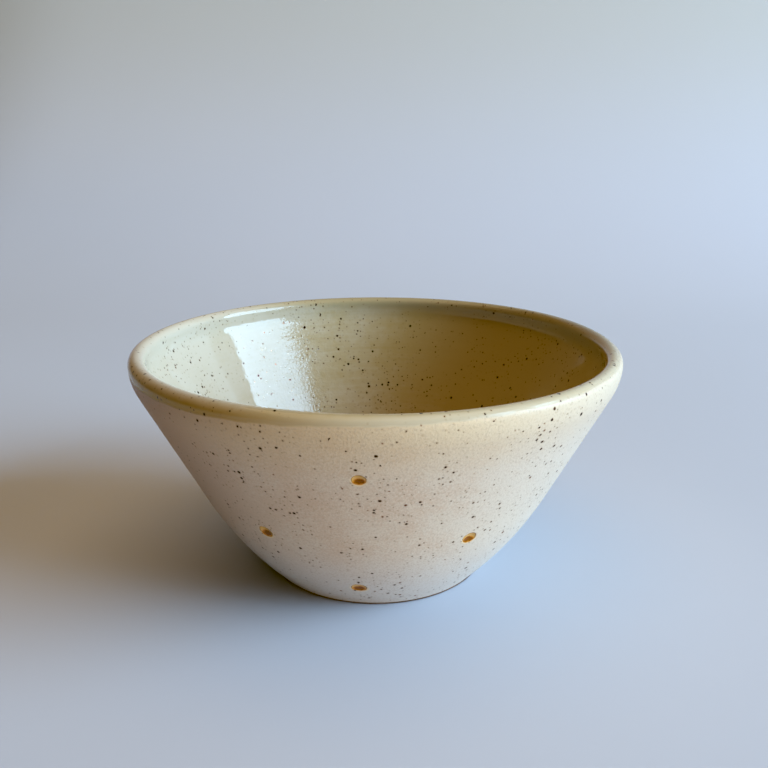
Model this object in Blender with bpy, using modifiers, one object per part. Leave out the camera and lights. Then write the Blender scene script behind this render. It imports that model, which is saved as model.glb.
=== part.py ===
"""A wheel-thrown stoneware bowl: a conical wall with a rounded lip, a trimmed foot and four pressed dimples.

The bowl stands on z = 0 with its axis on z, and the dimples face -Y. Lengths are in metres.
"""
import math

import bmesh
import bpy
from mathutils import Vector

MM = 0.001

# The outer form, as a potter measures it.
RIM_DIAMETER = 150.0 * MM
HEIGHT = 72.5 * MM
FOOT_DIAMETER = 69.4 * MM
WALL_LEAN = math.radians(27.5)
BELLY_HEIGHT = 29.0 * MM

# The lip: a half-round edge that the wall rolls into outside, with a straight collar inside.
LIP_THICKNESS = 5.2 * MM
LIP_ROLL_RADIUS = 14.0 * MM
COLLAR_FILLET = 2.2 * MM

# The thrown clay and the hollow inside it.
WALL_THICKNESS = 4.4 * MM
FLOOR_THICKNESS = 5.0 * MM
HOLLOW_CURVE_HEIGHT = 25.0 * MM
FLOOR_HANDLE = 0.88
WALL_HANDLE = 0.80

# The trimmed foot: a bare strip, an eased edge, a ring to stand on and a shallow recess.
FOOT_STRIP_HEIGHT = 0.8 * MM
FOOT_EDGE_RADIUS = 0.4 * MM
FOOT_RING_WIDTH = 5.5 * MM
FOOT_RECESS_DEPTH = 1.5 * MM
FOOT_RECESS_DRAFT = 1.0 * MM

# Each dimple: its name, its angle round from the front, its height and its width.
DIMPLES = (
    ("upper", math.radians(0.5), 54.3 * MM, 3.7 * MM),
    ("left", math.radians(-28.4), 30.4 * MM, 4.3 * MM),
    ("right", math.radians(31.0), 29.4 * MM, 4.2 * MM),
    ("lower", math.radians(-2.5), 10.6 * MM, 4.6 * MM),
)
DIMPLE_DEPTH = 0.9 * MM

# How finely round stretches are divided.
TURN_STEPS = 96
BALL_SEGMENTS = 20
BALL_RINGS = 14
MERGE_DISTANCE = 0.00005

# The satin off-white glaze.
GLAZE_COLOUR = (0.72, 0.66, 0.56, 1.0)
GLAZE_ROUGHNESS = 0.35


def arc(centre, radius, start, end, steps):
    """Points along an arc in the profile's plane, its angles measured from +X towards +Z."""
    angles = [start + (end - start) * i / steps for i in range(steps + 1)]
    return [centre + radius * Vector((math.cos(a), math.sin(a))) for a in angles]


def bezier(start, handle_a, handle_b, end, steps):
    """Points along a cubic curve in the profile's plane."""
    points = []
    for i in range(steps + 1):
        t = i / steps
        s = 1.0 - t
        points.append(s**3 * start + 3 * s * s * t * handle_a + 3 * s * t * t * handle_b + t**3 * end)
    return points


def bend(start, corner, end, steps):
    """Points along a curve that leaves start and reaches end in line with one corner."""
    return bezier(start, start.lerp(corner, 2 / 3), end.lerp(corner, 2 / 3), end, steps)


def outer_profile():
    """The outside from the lip's widest line down to the foot's edge, as (radius, height) points."""
    rim = RIM_DIAMETER / 2
    foot = FOOT_DIAMETER / 2
    lip_height = HEIGHT - LIP_THICKNESS / 2
    up_wall = Vector((math.sin(WALL_LEAN), math.cos(WALL_LEAN)))
    roll = arc(Vector((rim - LIP_ROLL_RADIUS, lip_height)), LIP_ROLL_RADIUS, 0.0, -WALL_LEAN, 5)
    belly_top = roll[-1] - up_wall * (roll[-1].y - BELLY_HEIGHT) / up_wall.y
    foot_top = Vector((foot, FOOT_STRIP_HEIGHT))
    belly_corner = belly_top - up_wall * (belly_top - foot_top).length / 2
    belly = bend(belly_top, belly_corner, foot_top, 9)
    edge = arc(Vector((foot - FOOT_EDGE_RADIUS, FOOT_EDGE_RADIUS)), FOOT_EDGE_RADIUS, 0.0, -math.pi / 2, 2)
    return roll + belly + edge


def underside_profile():
    """The foot ring's inner corner and the trimmed recess, in to the axis."""
    ring = FOOT_DIAMETER / 2 - FOOT_RING_WIDTH
    corner = Vector((ring, 0.0))
    recess = Vector((ring - FOOT_RECESS_DRAFT, FOOT_RECESS_DEPTH))
    return [corner, recess, Vector((0.0, FOOT_RECESS_DEPTH))]


def hollow_profile(wall_top):
    """The hollow from the middle of its floor up to the lip, a wall's thickness inside the cone."""
    floor = FOOT_RECESS_DEPTH + FLOOR_THICKNESS
    up_wall = Vector((math.sin(WALL_LEAN), math.cos(WALL_LEAN)))
    inner_top = wall_top - Vector((WALL_THICKNESS / math.cos(WALL_LEAN), 0.0))

    def on_cone(height):
        return inner_top + up_wall * (height - inner_top.y) / up_wall.y

    middle = Vector((0.0, floor))
    floor_corner = on_cone(floor)
    curve_top = on_cone(HOLLOW_CURVE_HEIGHT)
    curve = bezier(middle, middle.lerp(floor_corner, FLOOR_HANDLE), curve_top.lerp(floor_corner, WALL_HANDLE),
                   curve_top, 10)
    collar_radius = RIM_DIAMETER / 2 - LIP_THICKNESS
    collar_foot = inner_top + up_wall * (collar_radius - inner_top.x) / up_wall.x
    collar = bend(collar_foot - up_wall * COLLAR_FILLET, collar_foot, collar_foot + Vector((0.0, COLLAR_FILLET)), 3)
    return curve + collar


def bowl_profile():
    """The whole section, from the middle of the hollow over the lip and down to the middle of the foot."""
    outside = outer_profile()
    cone_top = outside[5]
    lip_centre = Vector((RIM_DIAMETER / 2 - LIP_THICKNESS / 2, HEIGHT - LIP_THICKNESS / 2))
    lip = arc(lip_centre, LIP_THICKNESS / 2, math.pi, 0.0, 8)
    return hollow_profile(cone_top) + lip + outside[1:] + underside_profile()


def wall_at(height):
    """The outer wall's radius at a height, and the direction that its surface faces there."""
    outside = outer_profile()
    for above, below in zip(outside, outside[1:]):
        if below.y <= height <= above.y:
            down = below - above
            share = (above.y - height) / (above.y - below.y)
            facing = Vector((-down.y, down.x)).normalized()
            return above.lerp(below, share).x, facing
    raise ValueError("no wall at this height")


def glaze():
    """The speckled glaze's ground colour, in a Principled shader."""
    material = bpy.data.materials.new("speckled_glaze")
    material.use_nodes = True
    shader = material.node_tree.nodes["Principled BSDF"]
    shader.inputs["Base Color"].default_value = GLAZE_COLOUR
    shader.inputs["Roughness"].default_value = GLAZE_ROUGHNESS
    shader.inputs["Metallic"].default_value = 0.0
    return material


def turned(name, profile, collection):
    """A solid turned about z from a profile of (radius, height) points."""
    mesh = bpy.data.meshes.new(name)
    points = [(p.x, 0.0, p.y) for p in profile]
    mesh.from_pydata(points, [(i, i + 1) for i in range(len(points) - 1)], [])
    solid = bpy.data.objects.new(name, mesh)
    collection.objects.link(solid)
    screw = solid.modifiers.new("turn", "SCREW")
    screw.axis = "Z"
    screw.steps = TURN_STEPS
    screw.render_steps = TURN_STEPS
    screw.use_merge_vertices = True
    screw.merge_threshold = MERGE_DISTANCE
    screw.use_smooth_shade = True
    return solid


def dimple_ball(name, angle, height, width, collection):
    """The ball that presses one dimple: it cuts a circle of the given width, DIMPLE_DEPTH deep."""
    ball_radius = (width**2 / 4 + DIMPLE_DEPTH**2) / (2 * DIMPLE_DEPTH)
    radius, facing = wall_at(height)
    centre = Vector((radius, height)) + facing * (ball_radius - DIMPLE_DEPTH)
    mesh = bpy.data.meshes.new(name)
    shape = bmesh.new()
    bmesh.ops.create_uvsphere(shape, u_segments=BALL_SEGMENTS, v_segments=BALL_RINGS, radius=ball_radius)
    shape.to_mesh(mesh)
    shape.free()
    ball = bpy.data.objects.new(name, mesh)
    ball.location = (centre.x * math.sin(angle), -centre.x * math.cos(angle), centre.y)
    ball.rotation_euler = (math.pi / 2 - math.atan2(facing.y, facing.x), 0.0, angle)
    ball.hide_render = True
    ball.display_type = "WIRE"
    collection.objects.link(ball)
    return ball


def press(solid, ball):
    """Cut one ball out of the solid."""
    cut = solid.modifiers.new(ball.name, "BOOLEAN")
    cut.operation = "DIFFERENCE"
    cut.solver = "EXACT"
    cut.object = ball


def new_collection(name):
    collection = bpy.data.collections.new(name)
    bpy.context.scene.collection.children.link(collection)
    return collection


def main():
    for old in list(bpy.data.objects):
        bpy.data.objects.remove(old, do_unlink=True)
    parts = new_collection("stoneware_bowl")
    cutters = new_collection("cutters")
    bowl = turned("bowl", bowl_profile(), parts)
    bowl.data.materials.append(glaze())
    for place, angle, height, width in DIMPLES:
        press(bowl, dimple_ball("dimple_" + place, angle, height, width, cutters))


main()
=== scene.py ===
# %% [markdown]
# # A wheel-thrown stoneware bowl
#
# The bowl is one lump of clay, thrown on a wheel, trimmed, dipped in a creamy glaze and fired
# until the iron in the clay bled through as dark specks. Four dimples pressed into its front hold
# an amber glaze. This lesson builds its fine surface around the plain solid of the same bowl.
#
# We first load that solid. It gives the size, and the bowl made here stays inside it.

# %% Load the plain solid
import math

import bpy
import numpy as np
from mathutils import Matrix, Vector


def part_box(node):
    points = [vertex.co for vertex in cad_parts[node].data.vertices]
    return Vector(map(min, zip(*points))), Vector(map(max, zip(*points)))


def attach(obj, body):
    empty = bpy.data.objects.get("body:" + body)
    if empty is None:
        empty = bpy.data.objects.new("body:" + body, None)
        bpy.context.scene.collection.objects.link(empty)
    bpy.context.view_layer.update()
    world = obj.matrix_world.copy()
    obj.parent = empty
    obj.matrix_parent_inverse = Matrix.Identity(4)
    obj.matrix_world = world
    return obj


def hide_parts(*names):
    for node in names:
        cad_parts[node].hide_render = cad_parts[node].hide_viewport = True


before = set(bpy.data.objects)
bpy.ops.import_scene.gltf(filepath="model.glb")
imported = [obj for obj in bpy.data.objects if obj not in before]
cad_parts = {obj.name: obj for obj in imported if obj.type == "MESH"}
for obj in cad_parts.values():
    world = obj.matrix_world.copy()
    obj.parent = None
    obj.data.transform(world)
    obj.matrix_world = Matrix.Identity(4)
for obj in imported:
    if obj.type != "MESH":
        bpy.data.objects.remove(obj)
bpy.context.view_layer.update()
low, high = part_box("bowl")
MM = 0.001
RIM_RADIUS = (high.x - low.x) / 2
HEIGHT = high.z
print(f"rim {2 * RIM_RADIUS / MM:.1f} mm across, {HEIGHT / MM:.1f} mm high")

# %% [markdown]
# ## The camera
#
# The camera stands a little to the right of the bowl's front and looks down by 16.6 degrees. It is
# close by, so the near lip looks wider than the far one. A 40 mm lens on a 36 mm sensor gives that
# perspective. We place the camera first, so that each later step can be looked at.

# %% Camera
CAMERA_PLACE = Vector((18.4, -258.9, 135.6)) * MM
CAMERA_PITCH = math.radians(16.6)
CAMERA_YAW = math.radians(3.5)
CAMERA_LENS = 40.0
CAMERA_SENSOR = 36.0
NEAREST_SEEN = 10.0 * MM

camera_data = bpy.data.cameras.new("camera")
camera_data.lens = CAMERA_LENS
camera_data.sensor_width = CAMERA_SENSOR
camera_data.clip_start = NEAREST_SEEN
camera = bpy.data.objects.new("camera", camera_data)
camera.location = CAMERA_PLACE
camera.rotation_euler = (math.pi / 2 - CAMERA_PITCH, 0.0, CAMERA_YAW)
bpy.context.scene.collection.objects.link(camera)
bpy.context.scene.camera = camera
print(f"camera {camera.location.length / MM:.0f} mm from the foot")

# %% [markdown]
# ## The section
#
# A potter thinks of a bowl as one line: the section that the wheel turns round. It could be drawn
# as a list of points, but a line made from arcs and curves stays smooth however finely it is cut
# later. These three helpers make every curve of the section as points of (radius, height).

# %% Curves for the section
def arc(centre, radius, start, end, steps=24):
    angles = np.linspace(start, end, steps)[:, None]
    return np.array(centre) + radius * np.hstack([np.cos(angles), np.sin(angles)])


def bezier(start, handle_a, handle_b, end, steps=60):
    t = np.linspace(0.0, 1.0, steps)[:, None]
    s = 1.0 - t
    return s**3 * start + 3 * s * s * t * handle_a + 3 * s * t * t * handle_b + t**3 * end


def bend(start, corner, end, steps=60):
    return bezier(start, start + (corner - start) * 2 / 3, end + (corner - end) * 2 / 3, end, steps)


# %% [markdown]
# The outside leans out at 27.5 degrees, rounds in to the foot below and rolls up into the lip
# above. The lip is half round. Inside it a straight collar meets the cone in a soft line, because
# the lip was folded in and pressed there. The foot is trimmed: a bare strip, a ring and a recess.

# %% Sizes of the section
WALL_LEAN = math.radians(27.5)
WALL_THICKNESS = 4.4 * MM
LIP_THICKNESS = 5.2 * MM
LIP_ROLL_RADIUS = 14.0 * MM
COLLAR_FILLET = 2.2 * MM
BELLY_HEIGHT = 29.0 * MM
FOOT_RADIUS = 34.7 * MM
FOOT_STRIP = 0.8 * MM
FOOT_EDGE = 0.4 * MM
RING_WIDTH = 5.5 * MM
RECESS_DEPTH = 1.5 * MM
RECESS_DRAFT = 1.0 * MM
FLOOR_THICKNESS = 5.0 * MM
HOLLOW_CURVE_HEIGHT = 25.0 * MM
FLOOR_HANDLE = 0.88
WALL_HANDLE = 0.80
RING_ROUNDING = 0.5 * MM
ROOT_RISE = 0.7 * MM
ROOT_RUN = 0.9 * MM
LIP_HEIGHT = HEIGHT - LIP_THICKNESS / 2
UP_WALL = np.array([math.sin(WALL_LEAN), math.cos(WALL_LEAN)])


# %% The outside, from the lip's widest line to the floor
def outside_line():
    roll = arc((RIM_RADIUS - LIP_ROLL_RADIUS, LIP_HEIGHT), LIP_ROLL_RADIUS, 0.0, -WALL_LEAN)
    belly_top = roll[-1] - UP_WALL * (roll[-1][1] - BELLY_HEIGHT) / UP_WALL[1]
    foot_top = np.array([FOOT_RADIUS, FOOT_STRIP])
    corner = belly_top - UP_WALL * np.linalg.norm(belly_top - foot_top) / 2
    belly = bend(belly_top, corner, foot_top)
    edge = arc((FOOT_RADIUS - FOOT_EDGE, FOOT_EDGE), FOOT_EDGE, 0.0, -math.pi / 2, 8)
    return roll, np.vstack([belly, edge])


# %% The hollow, from the middle of its floor to the lip
def hollow_line(cone_top):
    inner_top = cone_top - np.array([WALL_THICKNESS / math.cos(WALL_LEAN), 0.0])

    def on_cone(height):
        return inner_top + UP_WALL * (height - inner_top[1]) / UP_WALL[1]

    floor = RECESS_DEPTH + FLOOR_THICKNESS
    middle = np.array([0.0, floor])
    corner = on_cone(floor)
    top = on_cone(HOLLOW_CURVE_HEIGHT)
    floor_handle = middle + FLOOR_HANDLE * (corner - middle)
    wall_handle = top + WALL_HANDLE * (corner - top)
    curve = bezier(middle, floor_handle, wall_handle, top, 120)
    collar_foot = inner_top + UP_WALL * (RIM_RADIUS - LIP_THICKNESS - inner_top[0]) / UP_WALL[0]
    rise = np.array([0.0, COLLAR_FILLET])
    collar = bend(collar_foot - UP_WALL * COLLAR_FILLET, collar_foot, collar_foot + rise, 12)
    return np.vstack([curve, collar])


# %% The underside, from the foot ring to its middle
def underside_line():
    ring = np.array([FOOT_RADIUS - RING_WIDTH, 0.0])
    root = ring + np.array([-RECESS_DRAFT, RECESS_DEPTH])
    slope = (root - ring) / np.linalg.norm(root - ring)
    outward = np.array([1.0, 0.0])
    edge = bend(ring + outward * RING_ROUNDING, ring, ring + slope * RING_ROUNDING, 8)
    inner_corner = bend(root - slope * ROOT_RISE, root, root - outward * ROOT_RUN, 8)
    return np.vstack([edge, inner_corner, [[0.0, RECESS_DEPTH]]])


# %% The whole section
def section_line():
    roll, lower = outside_line()
    lip_centre = (RIM_RADIUS - LIP_THICKNESS / 2, LIP_HEIGHT)
    lip = arc(lip_centre, LIP_THICKNESS / 2, math.pi, 0.0, 40)
    return np.vstack([hollow_line(roll[-1]), lip, roll[1:], lower, underside_line()])


SAME_POINT = 1e-7

section = section_line()
steps = np.linalg.norm(np.diff(section, axis=0), axis=1)
section = section[np.concatenate([[True], steps > SAME_POINT])]
along = np.concatenate([[0.0], np.cumsum(np.linalg.norm(np.diff(section, axis=0), axis=1))])
print(f"the section is {along[-1] / MM:.0f} mm long")

# %% [markdown]
# ## Where the mesh is fine
#
# Turning the section with even steps would waste faces on plain wall and leave too few in the
# dimples, which are only 4 mm wide. So the spacing follows a density: a base value, and a hump
# at each place that needs detail. Its running sum, read backwards, gives where the cuts go.

# %% Uneven spacing
def spaced(start, end, base, humps):
    """Places from start to end, base apart, and closer by each hump's (centre, width, gain)."""
    fine = np.linspace(start, end, 20000)
    density = np.full_like(fine, 1.0 / base)
    for centre, width, gain in humps:
        density += (gain / base) * np.exp(-(((fine - centre) / width) ** 4))
    total = np.concatenate([[0.0], np.cumsum((density[1:] + density[:-1]) / 2 * np.diff(fine))])
    count = int(round(total[-1]))
    return np.interp(np.linspace(0.0, total[-1], count + 1), total, fine)


# %% [markdown]
# Each dimple has a place: an angle round from the front, a height and a width. A potter presses
# them by eye with a round-ended tool, so they are not quite in line nor quite the same size.

# %% The four dimples
DIMPLES = (
    ("upper", math.radians(0.5), 54.3 * MM, 3.7 * MM),
    ("left", math.radians(-28.4), 30.4 * MM, 4.3 * MM),
    ("right", math.radians(31.0), 29.4 * MM, 4.2 * MM),
    ("lower", math.radians(-2.5), 10.6 * MM, 4.6 * MM),
)

widest = int(np.argmax(section[:, 0]))
foot_index = widest + int(np.argmin(section[widest:, 1]))
outer_heights = section[widest:foot_index + 1, 1]
outer_along = along[widest:foot_index + 1]


def along_at(height):
    """How far along the section the outer wall reaches a height."""
    return float(np.interp(-height, -outer_heights, outer_along))


# %% Rows and columns
ROW_STEP = 1.15 * MM
COLUMN_STEP = math.radians(1.4)
row_humps = [(along_at(height), 0.72 * width, 3.0) for _, _, height, width in DIMPLES]
row_humps.append((float(along[widest]) - 3 * MM, 6.0 * MM, 1.0))
row_humps.append((along_at(FOOT_STRIP), 1.6 * MM, 3.5))
row_humps.append((float(along[-1]) - FOOT_RADIUS + RING_WIDTH, 1.6 * MM, 3.5))
column_humps = []
for _, angle, height, width in DIMPLES[1:]:
    radius = float(np.interp(along_at(height), along, section[:, 0]))
    column_humps.append((angle, 0.95 * width / radius, 3.6))
rows = spaced(0.0, along[-1], ROW_STEP, row_humps)
columns = spaced(-math.pi, math.pi, COLUMN_STEP, column_humps)[:-1]
print(f"{len(rows)} rows by {len(columns)} columns")

# %% [markdown]
# ## The turned grid
#
# Every crossing of a row and a column becomes a point. Which way is out of the clay is known
# from the section: it is the section's direction, turned by a quarter. All fine relief moves
# the points along that normal, as a tool or a finger would.

# %% Points and normals of the plain form
heading = np.gradient(section, along, axis=0)
heading /= np.linalg.norm(heading, axis=1)[:, None]
row_radius = np.interp(rows, along, section[:, 0])
row_height = np.interp(rows, along, section[:, 1])
row_out = -np.interp(rows, along, heading[:, 1])
row_up = np.interp(rows, along, heading[:, 0])
length = np.hypot(row_out, row_up)
row_out = (row_out / length)[:, None]
row_up = (row_up / length)[:, None]
around = columns[None, :]
print(f"smallest row step {np.diff(rows).min() / MM:.2f} mm")

# %% [markdown]
# ## Throwing lines
#
# While the wheel turns, the potter's fingertip climbs the inside and leaves a shallow spiral.
# A wave that depends on the height and on the angle together draws that spiral: after one turn
# it has climbed by one pitch. The glaze fills most of it, so it is only a few hundredths deep.

# %% Spiral relief of the inside
THROW_PITCH = 4.6 * MM
THROW_DEPTH = 0.014 * MM
COLLAR_START = float(along[widest]) - 14.0 * MM


def smooth(value):
    value = np.clip(value, 0.0, 1.0)
    return value * value * (3.0 - 2.0 * value)


def throwing_lines(place, angle):
    turn = place / THROW_PITCH + angle / (2 * math.pi)
    uneven = 1.0 + 0.45 * np.sin(place / (9.0 * MM) + angle) + 0.3 * np.sin(2 * angle - place / (5.0 * MM))
    wave = np.cos(2 * math.pi * turn) + 0.35 * np.cos(4 * math.pi * turn + 1.1)
    inside = smooth((COLLAR_START - place) / (6.0 * MM)) * smooth(place / (12.0 * MM))
    return THROW_DEPTH * uneven * wave * inside


relief = throwing_lines(rows[:, None], around)
print(f"throwing lines up to {relief.max() / MM:.2f} mm")

# %% [markdown]
# ## Trimming marks
#
# When the clay was leather-hard, the bowl was turned over and its outside and foot were trimmed
# with a loop tool. On the glazed wall only a faint waviness is left. Under the foot, where no
# glaze hides them, the tool's rings are sharper and closer.

# %% Relief of the outside and the underside
SHORT_WAVE = 2.3 * MM
LONG_WAVE = 7.1 * MM
TRIM_DEPTH = 0.018 * MM
TOOL_RING_STEP = 1.7 * MM
TOOL_RING_DEPTH = 0.04 * MM

place = rows[:, None]
short_wave = np.sin(place / SHORT_WAVE + 1.5 * np.sin(around))
wall_wave = short_wave * np.sin(place / LONG_WAVE - 2 * around)
on_wall = smooth((place - along[widest] - 4 * MM) / (8 * MM)) * smooth((along_at(2 * MM) - place) / (6 * MM))
relief = relief + TRIM_DEPTH * wall_wave * on_wall

ring_edge = float(along[-1]) - (FOOT_RADIUS - RING_WIDTH)
tool_rings = np.sin(2 * math.pi * row_radius / TOOL_RING_STEP) ** 3
under = smooth((place - ring_edge - 2 * MM) / (2 * MM)) * smooth(row_radius[:, None] / (2 * MM))
relief = relief + TOOL_RING_DEPTH * tool_rings[:, None] * under
print(f"trimming marks from {ring_edge / MM:.0f} mm along the section")

# %% [markdown]
# ## The dimples
#
# Each dimple is a shallow cap, pressed straight into the wall. Its rim isn't sharp, because the
# glaze rounds it, and the pressed clay stands up a little round it. Amber glaze then fills the
# deepest part. In the kiln it ran down, so it is thickest in the lower half of each dimple.

# %% Relief of one dimple
PRESSED_DEPTH = 0.72 * MM
POOL_DEPTH = 0.20 * MM
RIM_SOFTNESS = 0.045 * MM
LIFTED_HEIGHT = 0.035 * MM


def dimple_relief(angle, height, width):
    middle = along_at(height)
    radius = float(np.interp(middle, along, section[:, 0]))
    across = (around - angle) * radius / (width / 2)
    down = (place - middle) / (width / 2)
    distance = np.hypot(across, down)
    cap = PRESSED_DEPTH * (1.0 - distance**2)
    pressed = RIM_SOFTNESS * np.logaddexp(0.0, cap / RIM_SOFTNESS)
    pool = POOL_DEPTH * smooth(1.15 - np.hypot(across, down - 0.25) * 1.05)
    lifted = LIFTED_HEIGHT * np.exp(-(((distance - 1.22) / 0.16) ** 2))
    return np.minimum(pool - pressed, 0.0) + lifted


for name, angle, height, width in DIMPLES:
    pressed_in = dimple_relief(angle, height, width)
    relief = relief + pressed_in
    print(f"{name} dimple {-pressed_in.min() / MM:.2f} mm deep")

# %% [markdown]
# ## Thrown by hand
#
# No hand-thrown rim is a perfect circle. The bowl is made about two tenths of a millimetre out of
# round, more towards the top, and its rim dips a little. All of this only draws the bowl in, never
# out, so it stays inside the solid's box: the sizes of the bowl belong to the solid.

# %% A slightly uneven bowl
ROUNDNESS = 0.08 * MM
RIM_DIP = 0.14 * MM
LIP_SWELL = 0.10 * MM

push = -np.cos(2 * around + 0.1) + 0.45 * np.cos(3 * around - 1.9) + 0.3 * np.cos(5 * around + 0.4)
dip = 0.5 + 0.3 * np.cos(2 * around - 0.9) + 0.2 * np.cos(3 * around + 2.2)
swell = (np.cos(3 * around + 0.5) - 1.0) / 2 * np.exp(-(((place - along[widest]) / (7 * MM)) ** 2))
higher = (row_height / HEIGHT)[:, None]
relief = relief + LIP_SWELL * swell
radius = row_radius[:, None] + relief * row_out + ROUNDNESS * (push - push.max()) * higher**1.5
height = row_height[:, None] + relief * row_up - RIM_DIP * dip * higher**3
radius = np.where(row_radius[:, None] < 1e-6, 0.0, radius)
grid = np.stack([radius * np.sin(around), -radius * np.cos(around), height], axis=-1)
print(f"widest {2 * radius.max() / MM:.2f} mm, highest {height.max() / MM:.2f} mm")

# %% [markdown]
# ## From points to a mesh
#
# The grid closes on itself round the bowl, and its two ends each shrink to one point: the middle
# of the floor and the middle of the underside. Quads join the rows, and a fan of triangles closes
# each end. This gives one watertight skin with no stray faces.

# %% Mesh of the bowl
def skin(points):
    count, sides = points.shape[:2]
    body = points[1:-1].reshape(-1, 3)
    vertices = np.vstack([points[0, :1], body, points[-1, :1]])
    ring = np.arange(sides)
    after = (ring + 1) % sides
    faces = [(0, 1 + int(b), 1 + int(a)) for a, b in zip(ring, after)]
    for row in range(count - 3):
        base = 1 + row * sides
        quads = np.stack([base + ring, base + after, base + sides + after, base + sides + ring], 1)
        faces.extend(map(tuple, quads.tolist()))
    last = 1 + (count - 3) * sides
    faces.extend((last + int(a), last + int(b), len(vertices) - 1) for a, b in zip(ring, after))
    return vertices, faces


vertices, faces = skin(grid)
mesh = bpy.data.meshes.new("thrown_bowl")
mesh.from_pydata(vertices.tolist(), [], faces)
mesh.validate()
mesh.shade_smooth()
bowl = bpy.data.objects.new("thrown_bowl", mesh)
bpy.context.scene.collection.objects.link(bowl)
print(f"{len(vertices)} points, {sum(len(face) - 2 for face in faces)} triangles")

# %% [markdown]
# The glazes change along the section: glossy inside and over the lip, satin on the wall, none on
# the foot. So every point keeps how far it lies from the lip's widest line, in millimetres, less
# than zero on the inside. A material can read that number anywhere between the points.

# %% How far each point lies from the lip
from_lip = (rows - along[widest]) / MM
values = np.concatenate([from_lip[:1], np.repeat(from_lip[1:-1], len(columns)), from_lip[-1:]])
attribute = mesh.attributes.new("from_lip", "FLOAT", "POINT")
attribute.data.foreach_set("value", values.astype(np.float32))
FOOT_LINE = (along_at(FOOT_STRIP) + 0.05 * MM - along[widest]) / MM
print(f"the glaze ends {FOOT_LINE:.1f} mm below the lip, at the foot")

# %% [markdown]
# ## Helpers for materials
#
# Materials are built from nodes. To keep each one readable, five helpers add a node with its
# inputs, do one sum, fade a value smoothly between two limits, blend two colours and make a noise.
# Two more start a node group and use it. Lengths in the materials are in millimetres, so a spot of
# 0.3 means 0.3 mm of clay.

# %% Helpers for nodes
def add(tree, kind, sockets=None, **settings):
    made = tree.nodes.new(kind)
    for name, value in settings.items():
        setattr(made, name, value)
    for key, value in (sockets or {}).items():
        if isinstance(value, bpy.types.NodeSocket):
            tree.links.new(value, made.inputs[key])
        else:
            made.inputs[key].default_value = value
    return made


def sum_of(tree, operation, *terms):
    return add(tree, "ShaderNodeMath", dict(enumerate(terms)), operation=operation).outputs[0]


def fade(tree, value, start, end, low=0.0, high=1.0):
    sockets = {"Value": value, "From Min": start, "From Max": end, "To Min": low, "To Max": high}
    made = add(tree, "ShaderNodeMapRange", sockets, interpolation_type="SMOOTHSTEP")
    return made.outputs["Result"]


def blend(tree, factor, first, second):
    sockets = {"Factor": factor, 6: first, 7: second}
    return add(tree, "ShaderNodeMix", sockets, data_type="RGBA").outputs[2]


def noise(tree, vector, size, detail=2.0):
    sockets = {"Vector": vector, "Scale": 1.0 / size, "Detail": detail}
    return add(tree, "ShaderNodeTexNoise", sockets).outputs["Fac"]


def new_group(name, inputs, outputs):
    group = bpy.data.node_groups.new(name, "ShaderNodeTree")
    for label, kind, value in inputs:
        socket = group.interface.new_socket(label, in_out="INPUT", socket_type=kind)
        if value is not None:
            socket.default_value = value
    for label, kind in outputs:
        group.interface.new_socket(label, in_out="OUTPUT", socket_type=kind)
    return group, group.nodes.new("NodeGroupInput").outputs, group.nodes.new("NodeGroupOutput")


def use_group(tree, group, sockets):
    return add(tree, "ShaderNodeGroup", sockets, node_tree=group).outputs


VALUE, VECTOR = "NodeSocketFloat", "NodeSocketVector"

# %% [markdown]
# ## Iron specks
#
# Speckled stoneware has grains of iron in its clay. They melt in the kiln and bleed through the
# glaze as dark dots with a rusty edge. A 3-D Voronoi texture gives one random point per cell, and
# a ball round some of those points, cut by the surface, makes dots of all sizes, as grains do.

# %% Group: iron specks
RAGGED_SHIFT = 0.30
SMALLEST = 0.35
BLEED_WIDTH = 0.38
MIDDLE_GREY = (0.5, 0.5, 0.5)

specks, given, out = new_group(
    "iron_specks",
    [("Vector", VECTOR, None), ("Cell", VALUE, 3.0), ("Radius", VALUE, 0.3), ("Share", VALUE, 0.6)],
    [("Core", VALUE), ("Bleed", VALUE), ("Tone", VALUE)],
)
ragged = add(specks, "ShaderNodeTexNoise", {"Vector": given["Vector"], "Scale": 2.6, "Detail": 1.0})
sockets = {0: ragged.outputs["Color"], 1: MIDDLE_GREY}
shift = add(specks, "ShaderNodeVectorMath", sockets, operation="SUBTRACT")
shift = add(specks, "ShaderNodeVectorMath", {0: shift.outputs[0], "Scale": RAGGED_SHIFT}, operation="SCALE")
moved = add(specks, "ShaderNodeVectorMath", {0: given["Vector"], 1: shift.outputs[0]}, operation="ADD")
scale = sum_of(specks, "DIVIDE", 1.0, given["Cell"])
grains = add(specks, "ShaderNodeTexVoronoi", {"Vector": moved.outputs[0], "Scale": scale}, feature="F1")
away = sum_of(specks, "MULTIPLY", grains.outputs["Distance"], given["Cell"])
chance = add(specks, "ShaderNodeSeparateColor", {"Color": grains.outputs["Color"]})
present = sum_of(specks, "LESS_THAN", chance.outputs["Red"], given["Share"])
size = sum_of(specks, "POWER", chance.outputs["Green"], 1.3)
size = sum_of(specks, "MULTIPLY_ADD", size, 1.0 - SMALLEST, SMALLEST)
size = sum_of(specks, "MULTIPLY", size, given["Radius"])
core = sum_of(specks, "SUBTRACT", size, away)
core_mask = fade(specks, core, -0.05, 0.07)
bleed_mask = fade(specks, core, -BLEED_WIDTH, 0.0)
specks.links.new(sum_of(specks, "MULTIPLY", core_mask, present), out.inputs["Core"])
specks.links.new(sum_of(specks, "MULTIPLY", bleed_mask, present), out.inputs["Bleed"])
specks.links.new(chance.outputs["Blue"], out.inputs["Tone"])
print(f"{specks.name}: {len(specks.nodes)} nodes")

# %% [markdown]
# ## Cloudy glaze
#
# A dipped glaze is never quite even. It has broad clouds where the coat is thicker and a fine
# curdle where it boiled and healed. Two noises of different size, added, stand for the two.

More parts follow.
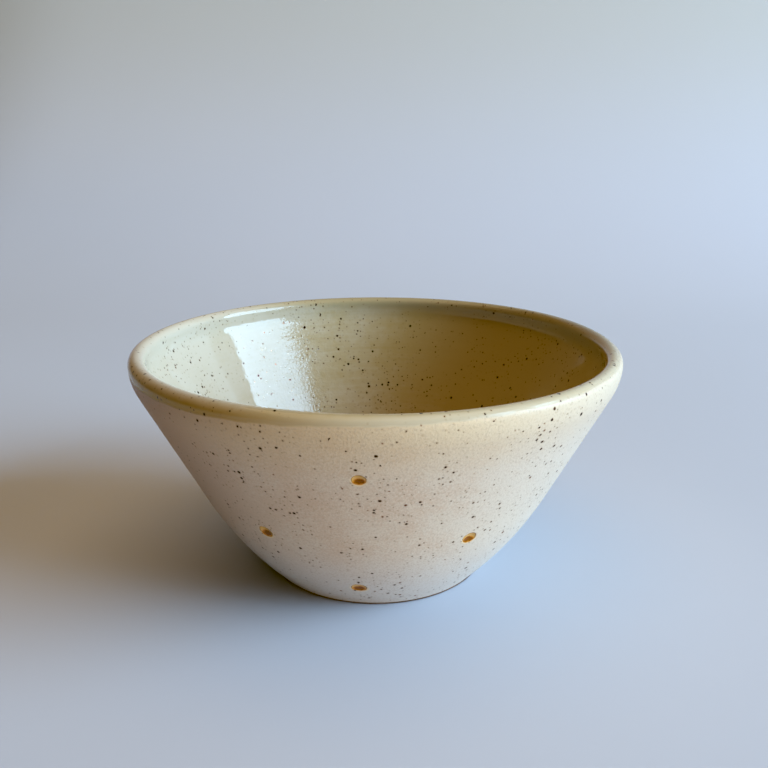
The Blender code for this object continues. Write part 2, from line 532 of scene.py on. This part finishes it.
# %% Group: cloudy glaze
clouds, given, out = new_group(
    "cloudy_glaze",
    [("Vector", VECTOR, None), ("Cloud", VALUE, 14.0), ("Curdle", VALUE, 0.9), ("Curdle share", VALUE, 0.4)],
    [("Thickness", VALUE)],
)
broad_scale = sum_of(clouds, "DIVIDE", 1.0, given["Cloud"])
fine_scale = sum_of(clouds, "DIVIDE", 1.0, given["Curdle"])
broad = add(clouds, "ShaderNodeTexNoise", {"Vector": given["Vector"], "Scale": broad_scale, "Detail": 3.0})
fine = add(clouds, "ShaderNodeTexNoise", {"Vector": given["Vector"], "Scale": fine_scale, "Detail": 2.0})
sockets = {0: given["Curdle share"], 2: broad.outputs["Fac"], 3: fine.outputs["Fac"]}
mixed = add(clouds, "ShaderNodeMix", sockets)
clouds.links.new(mixed.outputs[0], out.inputs["Thickness"])
print(f"{clouds.name}: {len(clouds.nodes)} nodes")

# %% [markdown]
# ## Orange peel
#
# A glossy glaze mirrors a window with a wavering edge, because its skin has low ripples like
# orange peel. The ripples are only a few thousandths of a millimetre high, far too low for mesh,
# so they are a height for a Bump node, in millimetres like everything else here.

# %% Group: orange peel
peel, given, out = new_group(
    "orange_peel",
    [("Vector", VECTOR, None), ("Ripple", VALUE, 2.0), ("Depth", VALUE, 0.006)],
    [("Height", VALUE)],
)
ripple_scale = sum_of(peel, "DIVIDE", 1.0, given["Ripple"])
ripple = add(peel, "ShaderNodeTexNoise", {"Vector": given["Vector"], "Scale": ripple_scale, "Detail": 2.0})
centred = sum_of(peel, "SUBTRACT", ripple.outputs["Fac"], 0.5)
peel.links.new(sum_of(peel, "MULTIPLY", centred, given["Depth"]), out.inputs["Height"])
print(f"{peel.name}: {len(peel.nodes)} nodes")

# %% [markdown]
# ## A pool of glaze
#
# The amber glaze was dropped into each dimple. To colour it we need to know how far a place is
# from the dimple's middle, and how far down the wall, because the glaze ran down before it set.
# Both are measured in half widths of the dimple, so one group serves dimples of any size.

# %% Group: pool in a dimple
pool, given, out = new_group(
    "pool_in_a_dimple",
    [("Vector", VECTOR, None), ("Middle", VECTOR, None), ("Down", VECTOR, None), ("Width", VALUE, 4.0)],
    [("Edge", VALUE), ("Low", VALUE)],
)
away = add(pool, "ShaderNodeVectorMath", {0: given["Vector"], 1: given["Middle"]}, operation="SUBTRACT")
reach = add(pool, "ShaderNodeVectorMath", {0: away.outputs[0]}, operation="LENGTH")
fall = add(pool, "ShaderNodeVectorMath", {0: away.outputs[0], 1: given["Down"]}, operation="DOT_PRODUCT")
half = sum_of(pool, "MULTIPLY", given["Width"], 0.5)
edge = sum_of(pool, "DIVIDE", reach.outputs["Value"], half)
low = sum_of(pool, "DIVIDE", fall.outputs["Value"], half)
near = sum_of(pool, "LESS_THAN", edge, 2.0)
pool.links.new(edge, out.inputs["Edge"])
pool.links.new(sum_of(pool, "MULTIPLY", low, near), out.inputs["Low"])
print(f"{pool.name}: {len(pool.nodes)} nodes")

# %% [markdown]
# ## The glazed surface
#
# One material covers all that is glazed, because the glazes overlap and melt into each other.
# It starts with where we are: a place in millimetres, and the distance from the lip. The edge of
# the inner glaze is a dip line, so it is a little askew, and a slow noise lets it waver. Streaks
# follow the wheel: they change quickly down the wall and slowly round it.

# %% Glazed material: where we are
TO_MM = 1000.0
WAVER = 1.6
DIP_SLANT = 0.029
STREAK_STRETCH = 0.04

glaze = bpy.data.materials.new("speckled_glaze")
glaze.use_nodes = True
tree = glaze.node_tree
tree.nodes.clear()
coordinates = add(tree, "ShaderNodeTexCoord")
sockets = {0: coordinates.outputs["Object"], "Scale": TO_MM}
to_mm = add(tree, "ShaderNodeVectorMath", sockets, operation="SCALE")
point = to_mm.outputs[0]
lip_way = add(tree, "ShaderNodeAttribute", attribute_name="from_lip").outputs["Fac"]
waver = noise(tree, point, 9.0, 2.0)
waver = sum_of(tree, "MULTIPLY_ADD", waver, WAVER, -WAVER / 2)
place = add(tree, "ShaderNodeSeparateXYZ", {0: point}).outputs
to_right, to_back = place["X"], place["Y"]
askew = sum_of(tree, "MULTIPLY_ADD", to_right, DIP_SLANT, waver)
wavy_way = sum_of(tree, "ADD", lip_way, askew)
outside = fade(tree, wavy_way, -0.35, 0.25)
sockets = {0: point, 1: (STREAK_STRETCH, STREAK_STRETCH, 0.0)}
turning = add(tree, "ShaderNodeVectorMath", sockets, operation="MULTIPLY")
down_wall = add(tree, "ShaderNodeCombineXYZ", {"Z": lip_way})
sockets = {0: turning.outputs[0], 1: down_wall.outputs[0]}
turned = add(tree, "ShaderNodeVectorMath", sockets, operation="ADD")
streaks = noise(tree, turned.outputs[0], 1.1, 3.0)
print(f"{glaze.name}: the glossy glaze ends near the lip's widest line")

# %% [markdown]
# The outer glaze is a satin off-white with a warm cast. The inner one is glassier, so more of the
# honey colour of the clay shows through, most of all where it is thin. Both get the cloudy
# thickness, which shifts them between a paler and a warmer tone, and the outer one has a fine
# grain like eggshell. The rest is painted light and shade. The inside is paler on the left, where
# the window lights it, and warmer on the right, in shade. The outer wall slides to its warmer tone
# and then to a darker pink on the left, in shade, and turns darker and cooler on the right, which
# tones down the window's light. Low on the wall it is cooler, a painted bounce of the cool floor,
# and under the lip it is yellower. The lip's glaze is deep brown at the front left, in shade, and
# pale at the front right, in the window's light; on the far side the lip and the collar are
# painted darker, as shade.

# %% Glazed material: two creamy glazes
OUTER_PALE = (0.612, 0.532, 0.420, 1.0)
OUTER_WARM = (0.568, 0.440, 0.322, 1.0)
OUTER_GRAIN = (0.430, 0.330, 0.240, 1.0)
# Painted shade: a darker pink for the shaded left of the outer wall.
OUTER_PAINTED_SHADE = (0.438, 0.236, 0.163, 1.0)
# Painted cool bounce light from the floor, low on the outer wall.
OUTER_PAINTED_BOUNCE = (0.555, 0.532, 0.488, 1.0)
# Painted shade that tones down the window's light on the right of the outer wall.
OUTER_RIGHT_PAINTED_SHADE = (0.530, 0.468, 0.385, 1.0)
NEAR_LIP = (0.600, 0.450, 0.245, 1.0)
INNER_PALE = (0.552, 0.450, 0.330, 1.0)
INNER_WARM = (0.420, 0.290, 0.122, 1.0)
# Painted shade: the lip's deep brown for its shaded front left.
LIP_PAINTED_SHADE = (0.385, 0.245, 0.068, 1.0)
LIP_PALE = (0.512, 0.432, 0.298, 1.0)
# Painted shade: a darker lip and collar on the far side.
LIP_FAR_SHADE = (0.250, 0.188, 0.105, 1.0)
COLLAR_FAR_SHADE = (0.375, 0.285, 0.155, 1.0)
STREAK_STRENGTH = 0.14
# The two swings paint light and shade from left to right: the outer wall goes from its warmer to its paler
# tone, the inside from its paler to its warmer tone.
OUTER_SHADE_SWING = 0.004
INNER_LIGHT_SHADE_SWING = 0.0055

sockets = {"Vector": point, "Cloud": 11.0, "Curdle": 0.65, "Curdle share": 0.5}
outer_clouds = use_group(tree, clouds, sockets)
sockets = {"Vector": point, "Cloud": 16.0, "Curdle": 2.2, "Curdle share": 0.3}
inner_clouds = use_group(tree, clouds, sockets)
streaked = sum_of(tree, "MULTIPLY_ADD", streaks, STREAK_STRENGTH, -STREAK_STRENGTH / 2)
outer_coat = sum_of(tree, "ADD", outer_clouds["Thickness"], streaked)
# Painted light and shade: warmer on the shaded left, paler on the lit right.
outer_coat = sum_of(tree, "MULTIPLY_ADD", to_right, OUTER_SHADE_SWING, outer_coat)
inner_coat = sum_of(tree, "MULTIPLY_ADD", inner_clouds["Thickness"], 0.5, streaked)
# Painted light and shade: paler on the lit left, warmer on the shaded right.
inner_coat = sum_of(tree, "MULTIPLY_ADD", to_right, -INNER_LIGHT_SHADE_SWING, inner_coat)
grain = fade(tree, noise(tree, point, 0.60, 1.0), 0.48, 0.74, 0.0, 0.42)
outer_colour = blend(tree, fade(tree, outer_coat, 0.34, 0.66), OUTER_WARM, OUTER_PALE)
# Painted cool bounce light from the floor, low on the wall.
outer_colour = blend(tree, fade(tree, lip_way, 42.0, 70.0, 0.0, 0.8), outer_colour, OUTER_PAINTED_BOUNCE)
# Painted shade on the window-lit right.
outer_colour = blend(tree, fade(tree, to_right, 10.0, 65.0, 0.0, 0.6), outer_colour, OUTER_RIGHT_PAINTED_SHADE)
less_right = fade(tree, to_right, 20.0, 65.0, 1.0, 0.5)
near_lip = sum_of(tree, "MULTIPLY", fade(tree, wavy_way, 22.0, 0.0, 0.0, 0.6), less_right)
outer_colour = blend(tree, near_lip, outer_colour, NEAR_LIP)
# Painted shade on the left of the outer wall.
outer_colour = blend(tree, fade(tree, to_right, -20.0, -72.0), outer_colour, OUTER_PAINTED_SHADE)
outer_colour = blend(tree, grain, outer_colour, OUTER_GRAIN)
inner_colour = blend(tree, fade(tree, inner_coat, 0.12, 0.60), INNER_WARM, INNER_PALE)
# Painted light and shade on the lip: deep brown at the shaded front left, pale at the lit front right.
front_right = sum_of(tree, "MULTIPLY_ADD", to_back, -0.8, to_right)
lip_colour = blend(tree, fade(tree, front_right, 5.0, 75.0), LIP_PAINTED_SHADE, LIP_PALE)
# Painted shade on the far lip and collar.
far_side = sum_of(tree, "MULTIPLY_ADD", to_right, 0.5, to_back)
far_shade_side = fade(tree, far_side, 10.0, 60.0)
far_shade_collar = sum_of(tree, "MULTIPLY", fade(tree, wavy_way, -11.0, -7.0), far_shade_side)
inner_colour = blend(tree, far_shade_collar, inner_colour, COLLAR_FAR_SHADE)
lip_colour = blend(tree, far_shade_side, lip_colour, LIP_FAR_SHADE)
inner_colour = blend(tree, fade(tree, wavy_way, -4.5, -1.5), inner_colour, lip_colour)
creamy = blend(tree, outside, inner_colour, outer_colour)
print("outer and inner glaze mixed at the lip")

# %% [markdown]
# Now the amber glaze. The four dimples are measured with the same group, and the nearest one
# wins. The thin amber at the edge is honey, then comes a stronger amber, and the pool in the lower
# half is a dark orange-brown, wider than it is high, with a wavy border. A brown line along the
# upper edge is painted shade under the rim, with some glaze gathered there. Round each pool, and
# most of all below it, the cream turns a pale honey: partly a seep of the amber, partly a painted
# highlight where the lower rim catches the light.

# %% Glazed material: amber pools
SUNK_MIDDLE = 0.35 * MM


def dimple_place(angle, height):
    middle = along_at(height)
    radius = float(np.interp(middle, along, section[:, 0]))
    out_way = np.array([math.cos(WALL_LEAN), -math.sin(WALL_LEAN)])
    radius = radius - SUNK_MIDDLE * out_way[0]
    height = height - SUNK_MIDDLE * out_way[1]
    return np.array([radius * math.sin(angle), -radius * math.cos(angle), height]) / MM


pool_edge = 9.0
pool_low = 0.0
for name, angle, height, width in DIMPLES:
    middle = dimple_place(angle, height)
    down = (-UP_WALL[0] * math.sin(angle), UP_WALL[0] * math.cos(angle), -UP_WALL[1])
    sockets = {"Vector": point, "Middle": tuple(middle), "Down": down, "Width": width / MM}
    measured = use_group(tree, pool, sockets)
    pool_edge = sum_of(tree, "MINIMUM", measured["Edge"], pool_edge)
    pool_low = sum_of(tree, "ADD", measured["Low"], pool_low)
    print(f"{name}: amber pool at {np.round(middle, 1)}")

# %% Glazed material: amber colour
HONEY = (0.580, 0.345, 0.095, 1.0)
AMBER = (0.500, 0.200, 0.022, 1.0)
DARK_AMBER = (0.200, 0.060, 0.001, 1.0)
# Painted shade for the dimples' upper edge, then a pale honey that is partly a seep and partly a painted
# highlight below each dimple.
RIM_AMBER_SHADE = (0.170, 0.095, 0.035, 1.0)
SEEP_AND_HIGHLIGHT = (0.680, 0.540, 0.330, 1.0)

edge_noise = sum_of(tree, "MULTIPLY_ADD", noise(tree, point, 1.1, 1.0), 0.16, -0.08)
wavy_edge = sum_of(tree, "ADD", pool_edge, edge_noise)
amber = fade(tree, wavy_edge, 1.08, 1.00)
# Partly a seep of the amber, partly a painted highlight, strongest below each dimple.
seep_and_highlight = fade(tree, pool_edge, 1.36, 1.12)
seep_and_highlight = sum_of(tree, "MULTIPLY", seep_and_highlight, fade(tree, pool_low, -0.3, 0.5, 0.15, 0.95))
edge_squared = sum_of(tree, "POWER", pool_edge, 2.0)
across = sum_of(tree, "SUBTRACT", edge_squared, sum_of(tree, "POWER", pool_low, 2.0))
sunk = sum_of(tree, "DIVIDE", sum_of(tree, "SUBTRACT", pool_low, 0.46), 0.48)
sunk = sum_of(tree, "MULTIPLY_ADD", across, 1.55, sum_of(tree, "POWER", sunk, 2.0))
deep_noise = sum_of(tree, "MULTIPLY_ADD", noise(tree, point, 0.9, 2.0), 1.3, -0.65)
sunk = sum_of(tree, "ADD", sunk, deep_noise)
# Painted shade along the upper edge, with some glaze gathered there.
upper_rim_shade = sum_of(tree, "MULTIPLY", fade(tree, wavy_edge, 0.86, 0.98), fade(tree, pool_low, 0.6, 0.1))
amber_colour = blend(tree, fade(tree, sunk, 1.55, 0.95), HONEY, AMBER)
amber_colour = blend(tree, fade(tree, sunk, 1.05, 0.40), amber_colour, DARK_AMBER)
amber_colour = blend(tree, sum_of(tree, "MULTIPLY", upper_rim_shade, 0.8), amber_colour, RIM_AMBER_SHADE)
with_seep_and_highlight = blend(tree, seep_and_highlight, creamy, SEEP_AND_HIGHLIGHT)
glazed = blend(tree, amber, with_seep_and_highlight, amber_colour)
print("honey at the edge, dark amber in the pool")

# %% [markdown]
# Three sizes of iron specks lie over the creamy glazes: a few large grains, the usual ones, and a
# dust of faint ones. A slow noise gathers them in loose swarms, inside and outside alike, and the
# amber covers them. Their bleed is rusty, and some grains are rust all through. Each size has its
# cell and its largest radius in millimetres, the share of cells that hold one, and its strength.

# %% Glazed material: specks
SPECK_DARK = (0.034, 0.009, 0.008, 1.0)
SPECK_RUST = (0.170, 0.050, 0.025, 1.0)
BLEED_COLOUR = (0.258, 0.143, 0.061, 1.0)
SPECK_SIZES = (
    ("grains", 4.0, 0.54, 0.30, 1.0),
    ("specks", 1.9, 0.45, 0.24, 1.0),
    ("dust", 1.1, 0.27, 0.28, 0.72),
)
INSIDE_GAIN = 1.05
BLEED_STRENGTH = 0.28
RUSTY_ABOVE = 0.84

bare = sum_of(tree, "SUBTRACT", 1.0, amber)
gathered = fade(tree, noise(tree, point, 13.0, 2.0), 0.40, 0.60, 0.35, 1.75)
speckled = glazed
speck_pits = None
for name, cell, radius, share, strength in SPECK_SIZES:
    share_here = fade(tree, lip_way, -6.0, 2.0, INSIDE_GAIN * share, share)
    share_here = sum_of(tree, "MULTIPLY", share_here, gathered)
    sockets = {"Vector": point, "Cell": cell, "Radius": radius, "Share": share_here}
    found = use_group(tree, specks, sockets)
    bleed = sum_of(tree, "MULTIPLY", found["Bleed"], bare)
    bleed = sum_of(tree, "MULTIPLY", bleed, BLEED_STRENGTH * strength)
    core = sum_of(tree, "MULTIPLY", sum_of(tree, "MULTIPLY", found["Core"], bare), strength)
    rusty = sum_of(tree, "GREATER_THAN", found["Tone"], RUSTY_ABOVE)
    speckled = blend(tree, bleed, speckled, BLEED_COLOUR)
    speckled = blend(tree, core, speckled, blend(tree, rusty, SPECK_DARK, SPECK_RUST))
    speck_pits = core if speck_pits is None else sum_of(tree, "MAXIMUM", speck_pits, core)
    print(f"{name}: one per {cell:.1f} mm cell, up to {2 * radius:.1f} mm wide")

# %% [markdown]
# Last come gloss and relief. The inner glaze and the amber are glassy. The outer one is satin,
# with a finer and rougher skin. Each dark grain is a tiny pit of molten iron, so it is partly
# metallic and mirrors almost nothing of the window. The inner glaze boiled hardest in one patch
# of the far wall, and wrinkles what it mirrors there. A low bead runs along its edge. All
# heights are added up in millimetres and one Bump node turns them into the surface's normal.

# %% Glazed material: gloss and relief
INNER_ROUGHNESS = 0.03
OUTER_ROUGHNESS = 0.40
AMBER_ROUGHNESS = 0.06
PIT_ROUGHNESS = 0.18
CURDLE_ROUGHNESS = 0.24
GLAZE_IOR = 1.38
IRON_METALLIC = 0.85
CALM_PEEL = 0.016
BOILED_PEEL = 0.080
OUTER_PEEL = 0.060
LAP_HEIGHT = 0.035
BEAD_HEIGHT = 0.035
PIT_DEPTH = 0.006

thinning = fade(tree, wavy_way, -2.2, 1.0)
roughness = fade(tree, thinning, 0.0, 1.0, INNER_ROUGHNESS, OUTER_ROUGHNESS)
curdled = sum_of(tree, "MULTIPLY_ADD", outer_clouds["Thickness"], CURDLE_ROUGHNESS, -CURDLE_ROUGHNESS / 2)
roughness = sum_of(tree, "MULTIPLY_ADD", curdled, outside, roughness)
roughness = sum_of(tree, "MULTIPLY_ADD", speck_pits, PIT_ROUGHNESS, roughness)
roughness = fade(tree, amber, 0.0, 1.0, roughness, AMBER_ROUGHNESS)

boiled = fade(tree, to_right, -44.0, -32.0)
boiled = sum_of(tree, "MULTIPLY", boiled, fade(tree, to_right, -8.0, -24.0))
boiled = sum_of(tree, "MULTIPLY", boiled, fade(tree, to_back, 5.0, 30.0))
boiled = sum_of(tree, "MULTIPLY_ADD", boiled, BOILED_PEEL, CALM_PEEL)
inner_peel = use_group(tree, peel, {"Vector": point, "Ripple": 1.0, "Depth": boiled})["Height"]
outer_peel = use_group(tree, peel, {"Vector": point, "Ripple": 0.65, "Depth": OUTER_PEEL})["Height"]
inner_part = sum_of(tree, "SUBTRACT", 1.0, outside)
skin_height = sum_of(tree, "MULTIPLY", inner_peel, inner_part)
skin_height = sum_of(tree, "MULTIPLY_ADD", outer_peel, outside, skin_height)
skin_height = sum_of(tree, "MULTIPLY", skin_height, bare)
glaze_lap = sum_of(tree, "MULTIPLY", inner_part, LAP_HEIGHT)
bead = sum_of(tree, "MULTIPLY", fade(tree, wavy_way, -1.5, -0.5), fade(tree, wavy_way, 0.2, -0.5))
glaze_lap = sum_of(tree, "MULTIPLY_ADD", bead, BEAD_HEIGHT, glaze_lap)
skin_height = sum_of(tree, "ADD", skin_height, glaze_lap)
skin_height = sum_of(tree, "MULTIPLY_ADD", speck_pits, -PIT_DEPTH, skin_height)
bump = add(tree, "ShaderNodeBump", {"Height": skin_height, "Distance": MM, "Strength": 1.0})

iron = sum_of(tree, "MULTIPLY", speck_pits, IRON_METALLIC)
shader_sockets = {"Base Color": speckled, "Metallic": iron, "Roughness": roughness, "IOR": GLAZE_IOR}
shader_sockets["Normal"] = bump.outputs[0]
glaze_shader = add(tree, "ShaderNodeBsdfPrincipled", shader_sockets)
add(tree, "ShaderNodeOutputMaterial", {"Surface": glaze_shader.outputs[0]})
mesh.materials.append(glaze)
print(f"{glaze.name}: {len(tree.nodes)} nodes")

# %% [markdown]
# ## The bare foot
#
# The foot was wiped clean before firing, or the bowl would stick to the shelf. Its clay is
# toasted brown, dry and a little sandy, with the same iron grains. It uses the same groups as
# the glaze, with coarser values.

# %% Bare clay
CLAY_PALE = (0.115, 0.062, 0.036, 1.0)
CLAY_TOASTED = (0.060, 0.030, 0.018, 1.0)

clay = bpy.data.materials.new("bare_stoneware")
clay.use_nodes = True
tree = clay.node_tree
tree.nodes.clear()
coordinates = add(tree, "ShaderNodeTexCoord")
sockets = {0: coordinates.outputs["Object"], "Scale": TO_MM}
to_mm = add(tree, "ShaderNodeVectorMath", sockets, operation="SCALE")
point = to_mm.outputs[0]
sockets = {"Vector": point, "Cloud": 9.0, "Curdle": 0.5, "Curdle share": 0.45}
clay_clouds = use_group(tree, clouds, sockets)
clay_colour = blend(tree, fade(tree, clay_clouds["Thickness"], 0.3, 0.68), CLAY_TOASTED, CLAY_PALE)
found = use_group(tree, specks, {"Vector": point, "Cell": 2.4, "Radius": 0.32, "Share": 0.6})
clay_colour = blend(tree, sum_of(tree, "MULTIPLY", found["Core"], 0.85), clay_colour, SPECK_DARK)
sand = use_group(tree, peel, {"Vector": point, "Ripple": 0.35, "Depth": 0.09})["Height"]
clay_bump = add(tree, "ShaderNodeBump", {"Height": sand, "Distance": MM, "Strength": 1.0})
dryness = fade(tree, clay_clouds["Thickness"], 0.2, 0.8, 0.72, 0.9)
shader_sockets = {"Base Color": clay_colour, "Roughness": dryness, "Normal": clay_bump.outputs[0]}
clay_shader = add(tree, "ShaderNodeBsdfPrincipled", shader_sockets)
add(tree, "ShaderNodeOutputMaterial", {"Surface": clay_shader.outputs[0]})
mesh.materials.append(clay)
first_points = [face.vertices[0] for face in mesh.polygons]
is_clay = values[np.array(first_points)] >= FOOT_LINE
mesh.polygons.foreach_set("material_index", is_clay.astype(np.int32))
print(f"{int(is_clay.sum())} faces of bare clay")

# %% [markdown]
# ## The bowl joins the frame
#
# The bowl takes the place of the plain solid and moves with its body.

# %% Ride and replace
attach(bowl, "root")
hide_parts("bowl")
print(f"{bowl.name} stands for the plain solid")

# %% [markdown]
# ## Floor and backdrop
#
# The bowl stands on a pale sheet that curves up behind it. A sheet bent like this has no corner,
# so the background fades softly. It is one strip of mesh with a smooth bend far behind the bowl.
# Far to the left it turns dark brown: painted shade that stands for the dark room on that side, so
# the bowl's shaded left gets little bounce light and its inside mirrors dark brown there.

# %% Pale sheet
FLOOR_COLOUR = (0.532, 0.543, 0.611, 1.0)
TOP_COLOUR = (0.490, 0.472, 0.446, 1.0)
FAR_LEFT_PAINTED_SHADE = (0.204, 0.163, 0.116, 1.0)
SHEET_FRONT = -1.8
SHEET_BACK = 0.35
SHEET_BEND = 0.55
SHEET_TOP = 0.9
SHEET_LEFT = -2.2
SHEET_RIGHT = 2.2
FLAT_STEPS = 12
BEND_STEPS = 24
WALL_STEPS = 6
ACROSS = 9
WEAVE_SHADE = 0.96

run = SHEET_BACK - SHEET_FRONT
rise = SHEET_TOP - SHEET_BEND
back = SHEET_BACK + SHEET_BEND
flat = [(SHEET_FRONT + run * step / FLAT_STEPS, 0.0) for step in range(FLAT_STEPS + 1)]
turns = [math.pi / 2 * step / BEND_STEPS for step in range(1, BEND_STEPS + 1)]
curve = [(SHEET_BACK + SHEET_BEND * math.sin(a), SHEET_BEND * (1 - math.cos(a))) for a in turns]
wall = [(back, SHEET_BEND + rise * step / WALL_STEPS) for step in range(1, WALL_STEPS + 1)]
line = flat + curve + wall
points = [(x, y, z) for y, z in line for x in np.linspace(SHEET_LEFT, SHEET_RIGHT, ACROSS)]
sheet_mesh = bpy.data.meshes.new("pale_sheet")
corners = [r * ACROSS + c for r in range(len(line) - 1) for c in range(ACROSS - 1)]
quads = [(k, k + 1, k + ACROSS + 1, k + ACROSS) for k in corners]
sheet_mesh.from_pydata(points, [], quads)
sheet_mesh.shade_smooth()
sheet = bpy.data.objects.new("pale_sheet", sheet_mesh)
bpy.context.scene.collection.objects.link(sheet)

cloth = bpy.data.materials.new("pale_cloth")
cloth.use_nodes = True
tree = cloth.node_tree
cloth_shader = tree.nodes["Principled BSDF"]
cloth_shader.inputs["Roughness"].default_value = 0.9
coordinates = add(tree, "ShaderNodeTexCoord")
soft = noise(tree, coordinates.outputs["Object"], 0.3, 2.0)
shaded = tuple(WEAVE_SHADE * part for part in FLOOR_COLOUR[:3]) + (1.0,)
sheet_place = add(tree, "ShaderNodeSeparateXYZ", {"Vector": coordinates.outputs["Object"]}).outputs
cloth_colour = blend(tree, soft, shaded, FLOOR_COLOUR)
cloth_colour = blend(tree, fade(tree, sheet_place["Z"], 0.02, 0.30), cloth_colour, TOP_COLOUR)
# Painted shade: far to the left the sheet turns dark brown, standing for the dark room.
cloth_colour = blend(tree, fade(tree, sheet_place["X"], -0.38, -0.75), cloth_colour, FAR_LEFT_PAINTED_SHADE)
tree.links.new(cloth_colour, cloth_shader.inputs["Base Color"])
sheet_mesh.materials.append(cloth)
print(f"sheet {SHEET_RIGHT - SHEET_LEFT:.1f} m wide")

# %% [markdown]
# ## Light
#
# One large soft window stands to the right. The glossy inside mirrors it as a pale four-sided
# patch, which tells where it is and how large it looks. Its light is cool. A small warm lamp stands
# just above the table, to the front and right, and warms the front wall and the lip. A dim warm
# ceiling fills the shadows, so they turn brown while the lit cloth looks blue. The room itself
# is almost dark, and only the camera sees it as a pale blue-grey.

# %% Lights
AIM = Vector((0.0, 0.0, 0.05))


def soft_window(name, azimuth, elevation, distance, width, height, radiance, colour):
    """An area light that faces the bowl; azimuth 0 is the viewer's side and 90 is to the right."""
    light = bpy.data.lights.new(name, "AREA")
    light.shape = "RECTANGLE"
    light.size = width
    light.size_y = height
    light.energy = radiance * math.pi * width * height
    light.color = colour
    a, e = math.radians(azimuth), math.radians(elevation)
    way = Vector((math.sin(a) * math.cos(e), -math.cos(a) * math.cos(e), math.sin(e)))
    lamp = bpy.data.objects.new(name, light)
    lamp.location = way * distance + AIM
    lamp.rotation_euler = way.to_track_quat("Z", "Y").to_euler()
    bpy.context.scene.collection.objects.link(lamp)


WINDOW_COLOUR = (0.495, 0.755, 1.0)
LAMP_COLOUR = (1.0, 0.71, 0.45)
CEILING_COLOUR = (1.0, 0.70, 0.36)
ROOM_COLOUR = (1.0, 0.7, 0.4, 1.0)
ROOM_STRENGTH = 0.01
SEEN_COLOUR = (0.42, 0.47, 0.55, 1.0)
BLACK_LEVEL = (0.0, 0.002, 0.012)

soft_window(
    "window", azimuth=78.8, elevation=21.0, distance=3.0,
    width=2.10, height=1.95, radiance=16.5, colour=WINDOW_COLOUR,
)
soft_window(
    "warm_lamp", azimuth=38.0, elevation=0.0, distance=1.0,
    width=0.50, height=0.08, radiance=30.0, colour=LAMP_COLOUR,
)
soft_window(
    "warm_ceiling", azimuth=0.0, elevation=88.0, distance=2.2,
    width=2.5, height=2.5, radiance=1.42, colour=CEILING_COLOUR,
)

world = bpy.data.worlds.new("pale_room")
world.use_nodes = True
tree = world.node_tree
room = tree.nodes["Background"]
room.inputs["Color"].default_value = ROOM_COLOUR
room.inputs["Strength"].default_value = ROOM_STRENGTH
seen = add(tree, "ShaderNodeBackground", {"Color": SEEN_COLOUR, "Strength": 1.0})
rays = add(tree, "ShaderNodeLightPath")
sockets = {0: rays.outputs["Is Camera Ray"], 1: room.outputs[0], 2: seen.outputs[0]}
chosen = add(tree, "ShaderNodeMixShader", sockets)
tree.links.new(chosen.outputs[0], tree.nodes["World Output"].inputs["Surface"])
bpy.context.scene.world = world
bpy.context.scene.view_settings.view_transform = "Standard"
bpy.context.scene.view_settings.use_curve_mapping = True
bpy.context.scene.view_settings.curve_mapping.black_level = BLACK_LEVEL
print("a cool window from the right and a warm room")
